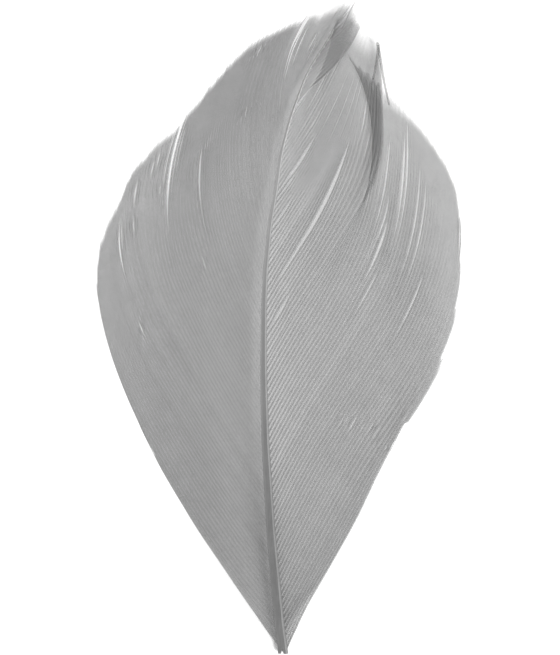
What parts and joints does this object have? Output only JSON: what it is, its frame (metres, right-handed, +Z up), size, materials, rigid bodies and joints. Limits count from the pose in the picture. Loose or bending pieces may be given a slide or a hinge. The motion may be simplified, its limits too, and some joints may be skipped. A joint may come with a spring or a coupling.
{
  "type": "goose body feather",
  "caption": "Broad leaf-shaped goose body feather, trimmed to a short quill stub, lying hollow side down on its vane margins.",
  "frame": {"origin": "on the surface under the middle of the feather's length and width", "axes": "+Y from the cut quill to the tip, +Z up from the surface, +X to the right seen from above with the tip away from the viewer"},
  "size_m": [0.0474, 0.085, 0.0037],
  "materials": {
    "vane": "soft satin grey, finely ribbed by the barbs, thin enough to let light through",
    "shaft": "smooth horn, darker grey, slight sheen"
  },
  "bodies": {
    "root": {"shaft": "shaft", "left_vane_outer": "vane", "left_vane_upper": "vane", "left_vane_tip": "vane", "right_vane_outer": "vane", "right_vane_middle": "vane", "right_vane_tip": "vane"}
  },
  "joints": []
}
